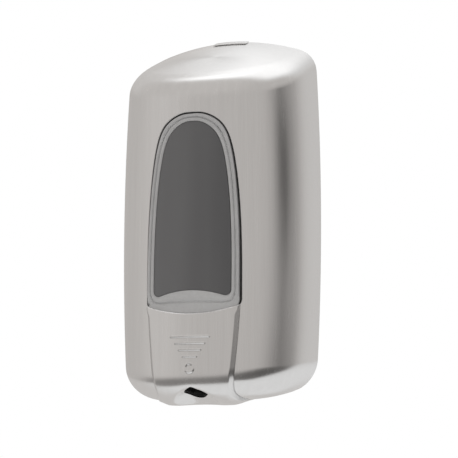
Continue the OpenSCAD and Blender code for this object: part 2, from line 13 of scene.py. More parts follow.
import bpy
import bmesh
import numpy as np
from mathutils import Matrix, Vector
from mathutils.geometry import delaunay_2d_cdt


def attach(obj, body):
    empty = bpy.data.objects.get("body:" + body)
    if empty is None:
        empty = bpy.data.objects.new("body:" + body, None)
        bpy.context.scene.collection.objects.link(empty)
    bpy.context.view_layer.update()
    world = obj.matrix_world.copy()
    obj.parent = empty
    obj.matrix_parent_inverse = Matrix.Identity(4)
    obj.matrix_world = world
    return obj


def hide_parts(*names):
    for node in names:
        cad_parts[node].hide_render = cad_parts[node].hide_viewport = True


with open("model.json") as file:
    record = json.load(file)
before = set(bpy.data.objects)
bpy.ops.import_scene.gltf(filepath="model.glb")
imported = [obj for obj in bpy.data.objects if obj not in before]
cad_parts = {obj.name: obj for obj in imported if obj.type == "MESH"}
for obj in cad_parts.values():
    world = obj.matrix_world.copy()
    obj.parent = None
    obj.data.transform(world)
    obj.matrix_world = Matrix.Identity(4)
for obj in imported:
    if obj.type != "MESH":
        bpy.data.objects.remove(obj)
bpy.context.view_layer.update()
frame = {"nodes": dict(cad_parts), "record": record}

# ---- the curved outer surface, as in the CAD ---------------------------------------------------

HALF_W, DEPTH = 68.6, 96.5
WAIST, WAIST_Z, HALF_H = 4.38, -5.0, 132.8
POWER = 4.29
BOTTOM_Z, BOTTOM_R = -132.8, 24.5
TOP_Z, TOP_R, CROWN = 125.0, 18.0, 7.8
LOW, HIGH = BOTTOM_Z + BOTTOM_R, TOP_Z - TOP_R
SLOPE_LOW, SLOPE_HIGH = 0.13, 0.39
RAISE = 3.0
SHEET = 1.6
BACK = -0.6

# the profile is walked with v: underside below 0, rounding, straight front, top rounding, crown
PLANE = 72.0
V1 = BOTTOM_R * math.pi / 2
V2 = V1 + HIGH - LOW
V3 = V2 + 25.0
V4 = V3 + 60.0
W0 = HALF_W - WAIST * ((BOTTOM_Z - WAIST_Z) / HALF_H) ** 2 - BOTTOM_R


def half_at(z):
    return HALF_W - WAIST * ((z - WAIST_Z) / HALF_H) ** 2


def slope_at(z):
    return SLOPE_LOW + (SLOPE_HIGH - SLOPE_LOW) * np.clip((z - LOW) / (HIGH - LOW), 0, 1)


def raise_at(z):
    return RAISE * np.clip((96 - z) / 176, 0, 1)


def crown_angles():
    """Where the top rounding hands over to the crown, for each direction round the cover."""
    q = np.linspace(0, np.pi / 2, 91)
    a = np.full(q.shape, 1.3)
    for _ in range(60):
        z = HIGH + TOP_R * np.sin(a)
        inset = TOP_R * (1 - np.cos(a))
        r = np.hypot((half_at(z) - inset) * np.cos(q), (DEPTH - inset) * np.sin(q) ** (2 / POWER))
        slope = 2 * (TOP_Z + CROWN - z) / r
        a = 0.5 * (a + np.arctan2(1, slope))
    return q, a


CROWN_Q, CROWN_A = crown_angles()


def surface(cq, sq, v, off):
    """A point of the surface. cq is the cosine across, sq the depth share, v the place on the profile."""
    cq, sq, v, off = np.broadcast_arrays(*[np.asarray(t, float) for t in (cq, sq, v, off)])
    a_low = np.radians(np.clip(90 * (1 - v / V1), 0, 90))
    ae = np.interp(np.arccos(np.clip(np.abs(cq), 0, 1)), CROWN_Q, CROWN_A)
    a_top = ae * np.clip((v - V2) / (V3 - V2), 0, 1)
    low, top = v < V1, v > V2
    inset = np.where(low, BOTTOM_R - (BOTTOM_R + off) * np.cos(a_low), -off)
    inset = np.where(top, TOP_R - (TOP_R + off) * np.cos(a_top), inset)
    z = np.where(low, LOW - (BOTTOM_R + off) * np.sin(a_low), LOW + (v - V1))
    z = np.where(top, HIGH + (TOP_R + off) * np.sin(a_top), z)
    s = np.where(v < 0, 1 + v / PLANE, np.where(v > V3, 1 - (v - V3) / (V4 - V3), 1.0))
    w = (half_at(z) - inset) * s
    d = (DEPTH - inset) * s
    rise = np.where(v > V3, (TOP_Z + CROWN + off - z) * (1 - s * s), 0.0)
    z = z + rise
    x = w * cq
    y = -d * sq
    return np.stack([x, y, z + slope_at(z) * y], -1)


def level(v):
    """Height on the straight front before the shear, used for the raise."""
    return LOW + (np.asarray(v, float) - V1)


# distance along the outline from the middle of the front, positive to the right
def outline_table():
    t = np.linspace(0, 1, 4001)
    y = np.sin(t * np.pi / 2)
    part = np.concatenate([y * 0.9, np.linspace(0.9, 1, 4001)[1:]])
    sq = np.unique(part)
    cq = np.sqrt(np.clip(1 - sq ** POWER, 0, 1))
    u = np.concatenate([[0], np.cumsum(np.hypot(np.diff(cq * HALF_W), np.diff(sq * DEPTH)))])
    return u[-1] - u[::-1], cq[::-1], sq[::-1]


TAB_U, TAB_C, TAB_S = outline_table()
U_END = TAB_U[-1]


def round_at(u):
    u = np.asarray(u, float)
    k = np.clip(np.abs(u), 0, U_END)
    return np.sign(u) * np.interp(k, TAB_U, TAB_C), np.interp(k, TAB_U, TAB_S)


def u_of(cq):
    return np.sign(cq) * np.interp(np.abs(cq), TAB_C, TAB_U)


def band(p, off):
    """Domain: distance across, place on the profile."""
    cq, sq = round_at(p[:, 0])
    return surface(cq, sq, p[:, 1], off)


def front(p, off):
    """Domain: x, place on the profile. For pieces near the middle of the front."""
    x, v = p[:, 0], p[:, 1]
    off = np.broadcast_to(off, x.shape)
    a = np.radians(np.clip(90 * (1 - v / V1), 0, 90))
    low = v < V1
    z = np.where(low, LOW - (BOTTOM_R + off) * np.sin(a), LOW + (v - V1))
    inset = np.where(low, BOTTOM_R - (BOTTOM_R + off) * np.cos(a), -off)
    w = (half_at(z) - inset) * np.where(v < 0, 1 + v / PLANE, 1.0)
    cq = np.clip(x / w, -0.999, 0.999)
    return surface(cq, (1 - cq * cq) ** (1 / POWER), v, off)


def star(p, w, d):
    """Splits a star shaped domain into cosine, depth share and radius."""
    x, y = np.abs(p[:, 0]) / w, np.maximum(-p[:, 1], 0) / d
    lo, hi = np.full(x.shape, 1e-9), np.full(x.shape, 3.0)
    for _ in range(60):
        mid = 0.5 * (lo + hi)
        outside = (x / mid) ** 2 + (y / mid) ** POWER > 1
        lo, hi = np.where(outside, mid, lo), np.where(outside, hi, mid)
    f = 0.5 * (lo + hi)
    return np.sign(p[:, 0]) * np.clip(x / f, 0, 1), np.clip(y / f, 0, 1), f


TOP_DW, TOP_DD, TOP_F = 51.0, 81.0, 1.3


def top_cap(p, off):
    """Domain: nearly x and y over the crown, spread out over the top rounding."""
    cq, sq, f = star(p, TOP_DW, TOP_DD)
    v = np.where(f < 1, V4 - f * (V4 - V3), V3 - (f - 1) / (TOP_F - 1) * (V3 - V2))
    return surface(cq, sq, v, off)


def low_cap(p, off):
    """Domain: x and y over the flat underside, spread out over the bottom rounding."""
    cq, sq, f = star(p, W0, PLANE)
    return surface(cq, sq, (f - 1) * PLANE, off)


def locate(fn, off, xy, turns=40):
    """Domain points of a cap that lie over the given x and y."""
    p = np.array(xy, float)
    for _ in range(turns):
        p += 0.7 * (xy - fn(p, off)[:, :2])
    return p


def find_v(fn_axis, x, target, off, lo, hi):
    """Place on the profile where the front's y (axis 1) or z (axis 2) reaches the target."""
    x = np.asarray(x, float)
    a, b = np.full(x.shape, float(lo)), np.full(x.shape, float(hi))
    rising = 1 if fn_axis == 2 else -1
    for _ in range(50):
        m = 0.5 * (a + b)
        got = front(np.stack([x, m], -1), off)[:, fn_axis]
        up = (got < target) if rising > 0 else (got > target)
        a, b = np.where(up, m, a), np.where(up, b, m)
    return 0.5 * (a + b)


# ---- mesh tools --------------------------------------------------------------------------------


def inside(p, loop):
    x, y = p[:, 0][:, None], p[:, 1][:, None]
    a, b = loop, np.roll(loop, -1, 0)
    cond = (a[:, 1][None] > y) != (b[:, 1][None] > y)
    dy = b[:, 1] - a[:, 1]
    dy = np.where(np.abs(dy) < 1e-12, 1e-12, dy)
    cross = (b[:, 0] - a[:, 0])[None] * (y - a[:, 1][None]) / dy[None] + a[:, 0][None]
    return (np.sum(cond & (x < cross), 1) % 2) == 1


def near(p, loop):
    """Distance from each point to a closed loop."""
    best = np.full(len(p), 1e9)
    a, b = loop, np.roll(loop, -1, 0)
    ab = b - a
    ll = np.maximum((ab ** 2).sum(1), 1e-12)
    for s in range(0, len(p), 4000):
        q = p[s:s + 4000]
        t = np.clip(((q[:, None] - a[None]) * ab[None]).sum(2) / ll[None], 0, 1)
        dist = np.hypot(*np.moveaxis(q[:, None] - (a[None] + t[..., None] * ab[None]), 2, 0))
        best[s:s + 4000] = dist.min(1)
    return best


def area(loop):
    a, b = loop, np.roll(loop, -1, 0)
    return 0.5 * np.sum(a[:, 0] * b[:, 1] - b[:, 0] * a[:, 1])


def spaced(loop, step):
    """The closed loop with points about one step apart, corners kept."""
    out = []
    for a, b in zip(loop, np.roll(loop, -1, 0)):
        n = max(1, int(round(np.hypot(*(b - a)) / step)))
        out += [a + (b - a) * i / n for i in range(n)]
    return np.array(out)


def even(loop, step):
    """The closed loop resampled to equal steps."""
    c = np.concatenate([loop, loop[:1]])
    s = np.concatenate([[0], np.cumsum(np.hypot(*np.diff(c, axis=0).T))])
    n = max(8, int(round(s[-1] / step)))
    t = np.linspace(0, s[-1], n + 1)[:-1]
    return np.stack([np.interp(t, s, c[:, 0]), np.interp(t, s, c[:, 1])], -1)


def grid(x0, x1, y0, y1, step):
    """Points of a triangular grid."""
    rows = []
    for i, y in enumerate(np.arange(y0, y1, step * 0.866)):
        xs = np.arange(x0 + (step / 2 if i % 2 else 0), x1, step)
        rows.append(np.stack([xs, np.full(xs.shape, y)], -1))
    return np.concatenate(rows)


class Builder:
    """Collects points, faces and face corner normals, then makes one mesh object."""

    def __init__(self):
        self.points, self.faces, self.normals = [], [], []
        self.count = 0

    def add(self, xyz):
        self.points.append(np.asarray(xyz, float))
        ids = np.arange(self.count, self.count + len(xyz))
        self.count += len(xyz)
        return ids

    def fill(self, fn, off, loops, ids, extra, sign, clear):
        """Covers the domain inside loops[0] and outside the others. off may depend on the domain point."""
        offset = off if callable(off) else (lambda q: np.full(len(q), float(off)))
        keep = inside(extra, loops[0])
        for hole in loops[1:]:
            keep &= ~inside(extra, hole)
        extra = extra[keep]
        for loop in loops:
            if len(extra):
                extra = extra[near(extra, loop) > clear]
        new = self.add(fn(extra, offset(extra))) if len(extra) else np.zeros(0, int)
        dom = np.concatenate(loops + [extra]) if len(extra) else np.concatenate(loops)
        index = np.concatenate(list(ids) + [new])
        edges, start = [], 0
        for loop in loops:
            n = len(loop)
            edges += [(start + i, start + (i + 1) % n) for i in range(n)]
            start += n
        _, _, tris, origin, _, _ = delaunay_2d_cdt(
            [Vector((float(x), float(y))) for x, y in dom], edges, [], 0, 1e-7)
        where = np.array([o[0] if o else -1 for o in origin])
        tri = where[np.array([t for t in tris if len(t) == 3])]
        tri = tri[(tri >= 0).all(1)]
        mid = dom[tri].mean(1)
        keep = inside(mid, loops[0])
        for hole in loops[1:]:
            keep &= ~inside(mid, hole)
        tri = tri[keep]
        turn = dom[tri]
        flip = np.cross(turn[:, 1] - turn[:, 0], turn[:, 2] - turn[:, 0]) < 0
        tri[flip] = tri[flip][:, ::-1]
        normal = normals(fn, offset, dom) * sign
        if sign < 0:
            tri = tri[:, ::-1]
        self.faces += index[tri].tolist()
        self.normals.append(normal[tri].reshape(-1, 3))

    def strip(self, a, b, na, nb, closed=True, flip=False):
        """Quads between two rows of points, a inside b, going round with the material on the left."""
        n = len(a)
        i = np.arange(n if closed else n - 1)
        j = (i + 1) % n
        if flip:
            self.faces += np.stack([a[j], b[j], b[i], a[i]], -1).tolist()
            self.normals.append(np.stack([na[j], nb[j], nb[i], na[i]], 1).reshape(-1, 3))
        else:
            self.faces += np.stack([a[i], b[i], b[j], a[j]], -1).tolist()
            self.normals.append(np.stack([na[i], nb[i], nb[j], na[j]], 1).reshape(-1, 3))

    def make(self, name):
        mesh = bpy.data.meshes.new(name)
        points = np.concatenate(self.points) / 1000
        mesh.from_pydata(points.tolist(), [], self.faces)
        mesh.update()
        mesh.polygons.foreach_set("use_smooth", [True] * len(mesh.polygons))
        n = np.concatenate(self.normals)
        n /= np.maximum(np.linalg.norm(n, axis=1, keepdims=True), 1e-9)
        mesh.normals_split_custom_set(n.tolist())
        obj = bpy.data.objects.new(name, mesh)
        bpy.context.scene.collection.objects.link(obj)
        return obj


def normals(fn, offset, p, h=0.2):
    """Outward unit normals of the displaced surface at domain points."""
    ex, ey = np.array([h, 0]), np.array([0, h])
    du = fn(p + ex, offset(p + ex)) - fn(p - ex, offset(p - ex))
    dv = fn(p + ey, offset(p + ey)) - fn(p - ey, offset(p - ey))
    n = np.cross(du, dv)
    return n / np.maximum(np.linalg.norm(n, axis=1, keepdims=True), 1e-12)


def inward(loop):
    """Unit vectors in the domain, pointing left of the direction of travel."""
    t = np.roll(loop, -1, 0) - np.roll(loop, 1, 0)
    t /= np.maximum(np.hypot(t[:, 0], t[:, 1]), 1e-9)[:, None]
    return np.stack([-t[:, 1], t[:, 0]], -1)


# each row of a worked edge: share of its width still to go, share of its drop, tilt in degrees
EDGE_ROUND = [(1 - math.sin(math.radians(b)), 1 - math.cos(math.radians(b)), b)
              for b in (0, 18, 36, 54, 72, 90)]
EDGE_CHAMFER = [(1.12, 0, 0), (1.0, 0.02, 14), (0.88, 0.1, 32), (0.76, 0.22, 44), (0.5, 0.48, 46),
                (0.24, 0.74, 46), (0.1, 0.87, 54), (0.0, 1.0, 72)]


def edge(b, fn, offset, loop, size, rows, sign, off_in, drop=None):
    """Builds the worked edge of a loop, and returns its upper row, lower row and their domain points."""
    inn = inward(loop)
    size = np.broadcast_to(size, (len(loop),)).astype(float)
    drop = size if drop is None else np.broadcast_to(drop, (len(loop),)).astype(float)
    out3 = fn(loop, offset(loop)) - fn(loop + inn * 0.4, offset(loop + inn * 0.4))
    out3 /= np.maximum(np.linalg.norm(out3, axis=1, keepdims=True), 1e-9)
    prev = None
    for inset, fall, tilt in rows:
        p = loop + inn * (size * inset)[:, None]
        pos = fn(p, offset(p) - drop * fall)
        nrm = normals(fn, lambda q: offset(q) - np.resize(drop * fall, len(q)), p) * sign
        t = np.arctan2(drop * math.sin(math.radians(tilt)), size * math.cos(math.radians(tilt)))[:, None]
        nrm = nrm * np.cos(t) + out3 * np.sin(t)
        ids = b.add(pos)
        if prev is None:
            first = (ids, p)
        else:
            b.strip(prev[0], ids, prev[1], nrm, flip=sign < 0)
        prev = (ids, nrm)
    foot = b.add(fn(loop, np.broadcast_to(off_in(loop), (len(loop),))))
    b.strip(prev[0], foot, out3, out3, flip=sign < 0)
    return first[0], first[1], foot


def plate(name, fn, loops, off_out, off_in, step, sizes, rows=EDGE_ROUND, drops=None, builder=None,
          dense=None):
    """A sheet with worked edges. loops[0] is its outline, the others its holes.

    dense is a pair: close points for one area of its face, and the outline of that area.
    """
    b = builder or Builder()
    fo = off_out if callable(off_out) else (lambda q: np.full(len(q), float(off_out)))
    fi = off_in if callable(off_in) else (lambda q: np.full(len(q), float(off_in)))
    drops = drops or [None] * len(loops)
    rows = rows if isinstance(rows[0], list) else [rows] * len(loops)
    fixed = []
    for k, loop in enumerate(loops):
        if (area(loop) > 0) != (k == 0):
            loop = loop[::-1]
            if not np.isscalar(sizes[k]):
                sizes[k] = sizes[k][::-1]
            if drops[k] is not None and not np.isscalar(drops[k]):
                drops[k] = drops[k][::-1]
        fixed.append(loop)
    got = [edge(b, fn, fo, lp, sz, rw, 1, fi, dr) for lp, sz, rw, dr in zip(fixed, sizes, rows, drops)]
    lo, hi = fixed[0].min(0), fixed[0].max(0)
    pts = grid(lo[0], hi[0], lo[1], hi[1], step)
    if dense is not None:
        pts = np.concatenate([pts[~inside(pts, dense[1])], dense[0]])
    b.fill(fn, fo, [g[1] for g in got], [g[0] for g in got], pts, 1, step * 0.55)
    coarse = grid(lo[0], hi[0], lo[1], hi[1], step * 2)
    b.fill(fn, fi, fixed, [g[2] for g in got], coarse, -1, step * 0.8)
    return b if builder else b.make(name)


# ---- outlines of the front ---------------------------------------------------------------------


def arch(w, p, z1, low, n):
    """Right side of an arch, from its lower end to its crown."""
    z = low + (z1 - low) * np.sin(np.linspace(0, np.pi / 2, n))
    narrow = 1 - 0.42 * np.exp((z - z1) / 4.5)
    x = w * np.maximum(0, 1 - ((np.maximum(z, -50) + 50) / (z1 + 50)) ** 2) ** p * narrow
    x[-1] = 0
    return np.stack([x, z], -1)


def grown(loop, out):
    """A counter-clockwise loop moved outwards."""
    return loop - inward(loop) * out


def opening_xz(out):
    side = arch(35.0, 0.22, 60.8, -75.6, 90)
    t = np.linspace(-1, 1, 41)
    low = np.stack([t * 34.2, -81.5 + 6 * t ** 2], -1)
    loop = np.concatenate([low, side[1:], (side[:-1] * [-1, 1])[::-1]])
    return grown(even(loop, 1.4), out)


def pane_xz(out):
    side = arch(28.5, 0.25, 53.9, -61.8, 90)
    t = np.linspace(-1, 1, 31)
    low = np.stack([t * 24.0, -65.7 - 3.9 * t ** 2], -1)
    a = np.radians(np.arange(-78, -5, 12))
    corner = np.stack([24.4 + 4.1 * np.cos(a), -65.6 + 4.1 * np.sin(a)], -1)
    loop = np.concatenate([low, corner, side, (side[:-1] * [-1, 1])[::-1], (corner * [-1, 1])[::-1]])
    return grown(even(loop, 1.2), out)


def to_front(xz, off=1.0):
    """x and z of the front turned into x and place on the profile."""
    return np.stack([xz[:, 0], find_v(2, xz[:, 0], xz[:, 1], off, 3.2, V2 + 15)], -1)


def smooth_step(t):
    t = np.clip(t, 0, 1)
    return t * t * (3 - 2 * t)


# ---- cover -------------------------------------------------------------------------------------


def cover_mesh():
    b = Builder()
    n = 122

    def zero(q):
        return np.zeros(len(q))

    def sheet(q):
        return np.full(len(q), -SHEET)

    u = np.linspace(-(U_END + BACK), U_END + BACK, n)
    rings = {}
    for name, v in (("low", V1), ("high", V2)):
        dom = np.stack([u, np.full(n, v)], -1)
        rings[name] = [b.add(band(dom, 0.0)), b.add(band(dom, -SHEET))]
    side_v = np.linspace(V1, V2, 60)[1:-1]
    right = np.stack([np.full(len(side_v), u[-1]), side_v], -1)
    left = right * [-1, 1]
    sides = {k: [b.add(band(d, 0.0)), b.add(band(d, -SHEET))] for k, d in (("right", right), ("left", left))}
    low_dom = np.stack([u, np.full(n, V1)], -1)
    high_dom = np.stack([u, np.full(n, V2)], -1)
    outer = np.concatenate([low_dom, right, high_dom[::-1], left[::-1]])
    window = opening_xz(0)
    win = to_front(window, 0.0)
    w = half_at(level(win[:, 1]))
    win = np.stack([u_of(win[:, 0] / w), win[:, 1]], -1)
    win = win[::-1]
    top, top_dom, foot = edge(b, band, zero, win, 0.9, EDGE_ROUND, 1, sheet)
    pts = grid(u[0], u[-1], V1, V2, 3.0)
    for side, sgn in ((0, 1), (1, -1)):
        ids = np.concatenate([rings["low"][side], sides["right"][side], rings["high"][side][::-1],
                              sides["left"][side][::-1]])
        hole = (top, top_dom) if side == 0 else (foot, win)
        b.fill(band, 0.0 if side == 0 else -SHEET, [outer, hole[1]], [ids, hole[0]], pts, sgn, 1.4)

    # top rounding and crown, with the slot for the neck of the lock
    cq, sq = round_at(u)
    ring = np.stack([TOP_DW * cq, -TOP_DD * sq], -1) * TOP_F
    back_x = np.linspace(ring[-1, 0], ring[0, 0], 50)[1:-1]
    back = np.stack([back_x, np.full(len(back_x), ring[0, 1])], -1)
    slot = np.array([[-5.4, -10.4], [8.6, -10.4], [8.6, -3.6], [-5.4, -3.6]])
    slot = rounded(slot, 1.0)
    slot = locate(top_cap, 0.0, even(slot, 0.8))
    top_back = [b.add(top_cap(back, 0.0)), b.add(top_cap(back, -SHEET))]
    s_top, s_dom, s_foot = edge(b, top_cap, zero, slot[::-1], 0.35, EDGE_ROUND, 1, sheet)
    loop = np.concatenate([ring, back])
    pts = grid(ring[:, 0].min(), ring[:, 0].max(), ring[:, 1].min(), 0, 2.4)
    for side, sgn in ((0, 1), (1, -1)):
        ids = np.concatenate([rings["high"][side], top_back[side]])
        hole = (s_top, s_dom) if side == 0 else (s_foot, slot[::-1])
        b.fill(top_cap, 0.0 if side == 0 else -SHEET, [loop, hole[1]], [ids, hole[0]], pts, sgn, 1.1)

    # bottom rounding and underside: cut back behind the hinge, open over the chin's scoop
    full = 1 + V1 / PLANE
    ring = np.stack([W0 * cq, -PLANE * sq], -1) * full
    rear = -6.6
    v_cut = V1 * (1 - 62 / 90)
    walk = []
    for v in np.linspace(V1, v_cut, 14)[1:]:
        d = DEPTH - (BOTTOM_R - BOTTOM_R * math.cos(math.radians(90 * (1 - v / V1))))
        s = -BACK / d
        walk.append((W0 * math.sqrt(1 - s ** POWER) * (1 + v / PLANE), -PLANE * s * (1 + v / PLANE)))
    walk.append((walk[-1][0] - 0.3, rear))
    walk += [(x, rear) for x in np.linspace(walk[-1][0], 37.6, 8)[1:]]
    walk += [(37.6, -12.0), (30.4, -12.0), (30.4, rear)]
    walk += [(x, rear) for x in np.linspace(30.4, 0, 16)[1:-1]]
    walk = np.array(walk)
    back = np.concatenate([walk, [[0, rear]], (walk * [-1, 1])[::-1]])
    t = np.linspace(0, 2 * np.pi, 73)[:-1]
    scoop = np.stack([21.0 * np.cos(t), -78.8 + 16.0 * np.sin(t)], -1)
    scoop = locate(low_cap, 0.0, scoop)[::-1]
    low_back = [b.add(low_cap(back, 0.0)), b.add(low_cap(back, -SHEET))]
    h_top, h_dom, h_foot = edge(b, low_cap, zero, scoop, 0.3, EDGE_ROUND, -1, sheet)
    loop = np.concatenate([ring, back])
    pts = grid(ring[:, 0].min(), ring[:, 0].max(), ring[:, 1].min(), 0, 2.4)
    for side, sgn in ((0, -1), (1, 1)):
        ids = np.concatenate([rings["low"][side], low_back[side]])
        hole = (h_top, h_dom) if side == 0 else (h_foot, scoop)
        b.fill(low_cap, 0.0 if side == 0 else -SHEET, [loop, hole[1]], [ids, hole[0]], pts, sgn, 1.1)

    # the cut edge along the wall
    for part, end in ((sides["right"], -1), (sides["left"], 0)):
        pair = [np.concatenate([[rings["low"][k][end]], part[k], [rings["high"][k][end]]]) for k in (0, 1)]
        rim(b, pair, end == -1)
    for part, ringpair in ((top_back, rings["high"]), (low_back, rings["low"])):
        pair = [np.concatenate([[ringpair[k][-1]], part[k], [ringpair[k][0]]]) for k in (0, 1)]
        rim(b, pair, part is top_back)
    return b.make("cover_shell")


def rim(b, pair, flip):
    """Joins an outer and an inner row along the cut edge of the cover."""
    pts = np.concatenate(b.points)
    a, c = pts[pair[0]], pts[pair[1]]
    along = np.gradient(a, axis=0)
    n = np.cross(along, c - a)
    n /= np.maximum(np.linalg.norm(n, axis=1, keepdims=True), 1e-9)
    if n[:, 1].sum() < 0:
        n = -n
    b.strip(pair[0], pair[1], n, n, closed=False, flip=not flip)


def rounded(poly, r, n=5):
    """Corners of a counter-clockwise polygon rounded with radius r."""
    out = []
    for i in range(len(poly)):
        p, a, c = poly[i], poly[i - 1], poly[(i + 1) % len(poly)]
        u, w = (a - p) / np.hypot(*(a - p)), (c - p) / np.hypot(*(c - p))
        half = 0.5 * math.acos(float(np.clip(u @ w, -1, 1)))
        d = r / math.tan(half)
        s, e = p + u * d, p + w * d
        for t in np.linspace(0, 1, n):
            m = (1 - t) ** 2 * s + 2 * t * (1 - t) * p + t ** 2 * e
            out.append(m)
    return np.array(out)


# ---- window ------------------------------------------------------------------------------------

def bezel_xz():
    """The frame leaves a thin gap to the cover round its sides and its arch, and closes on the chin below."""
    loop = opening_xz(0)
    foot = smooth_step((-71 - loop[:, 1]) / 5) * smooth_step((34.2 - np.abs(loop[:, 0])) / 2)
    gap = np.where(loop[:, 0] < 0, 1.35, 1.15)
    return loop + inward(loop) * (gap * (1 - foot) - 0.55 * foot)[:, None]


OPEN_LOOP = to_front(bezel_xz())
PANE_HOLE = to_front(pane_xz(0.12))


def bezel_off(p):
    """Height of the clear frame: a rolled outer rim, a groove, and a fall to the pane."""
    a, c = near(p, OPEN_LOOP), near(p, PANE_HOLE)
    f = a / np.maximum(a + c, 1e-6)
    roll = 0.8 * np.exp(-((f - 0.22) / 0.13) ** 2)
    groove = -1.0 * np.exp(-((f - 0.50) / 0.05) ** 2)
    inner = 0.3 * np.exp(-((f - 0.68) / 0.09) ** 2)
    fall = -0.9 * smooth_step((f - 0.78) / 0.22)
    foot = smooth_step((-48 - level(p[:, 1])) / 10)
    return raise_at(level(p[:, 1])) + 0.1 + roll * (1 - foot) + groove + inner + fall - 1.6 * foot


def window_meshes():
    def back(q):
        return raise_at(level(q[:, 1])) - 2.8

    bezel = plate("window_frame", front, [OPEN_LOOP, PANE_HOLE], bezel_off, back, 0.85, [0.5, 0.3])
    pane = plate("smoked_window", front, [to_front(pane_xz(-0.08))],
                 lambda q: raise_at(level(q[:, 1])) - 0.75, back, 2.2, [0.25])
    flange = plate("window_seal", front, [to_front(opening_xz(1.6)), to_front(pane_xz(1.5))],
                   -1.75, -3.2, 2.4, [0.2, 0.2])
    return bezel, pane, flange


# ---- chin --------------------------------------------------------------------------------------

CHIN_OFF = 3.05
LOW_OFF = 0.15


def chin_x(z):
    return 34.4 - 0.06 * (-76 - z) - 0.0005 * (-76 - z) ** 2


def ceiling(x, y):
    """The hollow over the outlet, above the underside of the chin."""
    return -134.5 - 10.5 * (x / 18) ** 2 - 10 * np.maximum((y + 86) / 20, 0) ** 2


def chin(p, off):
    xyz = front(p, off)
    off = np.broadcast_to(off, (len(p),))
    c = ceiling(xyz[:, 0], xyz[:, 1]) + 0.5 * (CHIN_OFF - off)
    z = xyz[:, 2]
    xyz[:, 2] = 0.5 * (z + c + np.sqrt((z - c) ** 2 + 2.2))
    return xyz


SIGN_BARS = ((-98.1, 13.8), (-102.7, 10.5), (-107.3, 7.75), (-112.0, 4.75))
SIGN_RING = (-120.0, 3.05)
SIGN_HEIGHT = 0.6
REACH_UP, REACH_DOWN = 0.75, 1.35
SIGN_AREA = (15.5, -124.6, -96.2)


def low_part(p):
    """1 where the chin runs out into the rounded bottom of the cover."""
    return smooth_step((22 - p[:, 1]) / 19)


def ridge(d, reach):
    """Height of a raised line at distance d from its middle, for the reach of the line on that side."""
    return SIGN_HEIGHT * np.clip((reach - np.abs(d)) / (reach - 0.1), 0, 1)


def chin_off(p):
    """Face of the chin, level with the cover at its lower sides, with the sign: four bars and a ring.

    The raised lines are steep on their upper side and gentle on their lower side.
    """
    xyz = front(p, np.full(len(p), CHIN_OFF))
    x, z = xyz[:, 0], xyz[:, 2]
    rise = z - SIGN_RING[0]
    r = np.hypot(x, rise)
    d = r - SIGN_RING[1]
    mean, part = 0.5 * (REACH_UP + REACH_DOWN), 0.5 * (REACH_DOWN - REACH_UP)
    high = ridge(d, mean - part * rise / np.maximum(r, 0.1) * np.sign(d))
    for level_z, half in SIGN_BARS:
        rise = z - level_z
        d = np.hypot(np.maximum(np.abs(x) - half, 0), rise)
        high = np.maximum(high, ridge(d, np.where(rise > 0, REACH_UP, REACH_DOWN)))
    side = 1 - smooth_step((34.5 - np.abs(x)) / 12)
    face = LOW_OFF + (CHIN_OFF - LOW_OFF) * (1 - low_part(p) * side)
    return face + high


def sign_points():
    """Close points over the sign, so that its lines come out sharp, and the outline of that area."""
    x, z0, z1 = SIGN_AREA
    corners = np.array([[-x, z0], [x, z0], [x, z1], [-x, z1]])
    return to_front(grid(-x, x, z0, z1, 0.25), CHIN_OFF), to_front(corners, CHIN_OFF)


def chin_mesh():
    t = np.linspace(-1, 1, 49)
    top = to_front(np.stack([t * 34.35, -82.1 + 6 * t ** 2], -1), CHIN_OFF)[::-1]
    v_side = np.linspace(top[0, 1], 0, 70)[1:]
    x = np.full(len(v_side), 30.0)
    for _ in range(12):
        z = front(np.stack([x, v_side], -1), CHIN_OFF)[:, 2]
        x = np.minimum(chin_x(np.maximum(z, -146)), 34.4)
    x = np.where(v_side < 6, np.interp(v_side, [0, 6], [27.7, x[v_side >= 6][-1]]), x)
    flare = 6.5 * smooth_step((22 - v_side) / 20)
    right = np.concatenate([np.stack([x + flare, v_side], -1), [[33.6, -4], [32.2, -8], [29.6, -12]]])
    xr = np.linspace(27.5, -27.5, 40)
    rear = np.stack([xr, find_v(1, xr, np.full(40, -58.2), CHIN_OFF, -30, 6)], -1)
    loop = np.concatenate([top, (right * [-1, 1]), rear[::-1], right[::-1]])
    loop = smooth_loop(even(loop, 1.0), 2)
    zz = front(loop, CHIN_OFF)
    side = smooth_step((top[24, 1] + 3.2 - loop[:, 1]) / 7) * smooth_step((np.abs(loop[:, 0]) - 22) / 4)
    side *= smooth_step((zz[:, 1] + 58.2) / -5)
    size = 1.1 + side * 1.8 * (1 - low_part(loop))
    drop = np.minimum(1.0 + side * 1.85, chin_off(loop) - 0.08)
    a = np.linspace(0, 2 * np.pi, 61)[:-1]
    hx, hy = 8.2 * np.sin(a), -84 + 12.3 * np.sign(np.cos(a)) * np.abs(np.cos(a)) ** 1.4
    hole = np.stack([hx, find_v(1, hx, hy, CHIN_OFF, -25, V1 + 2)], -1)
    hole = smooth_loop(even(hole, 0.8), 1)
    return plate("chin_cover", chin, [loop, hole], chin_off, 0.03, 1.15, [size, 0.45],
                 rows=[EDGE_CHAMFER, EDGE_ROUND], drops=[drop, None], dense=sign_points()), hole


def smooth_loop(loop, turns):
    for _ in range(turns):
        loop = 0.25 * np.roll(loop, 1, 0) + 0.5 * loop + 0.25 * np.roll(loop, -1, 0)
    return loop


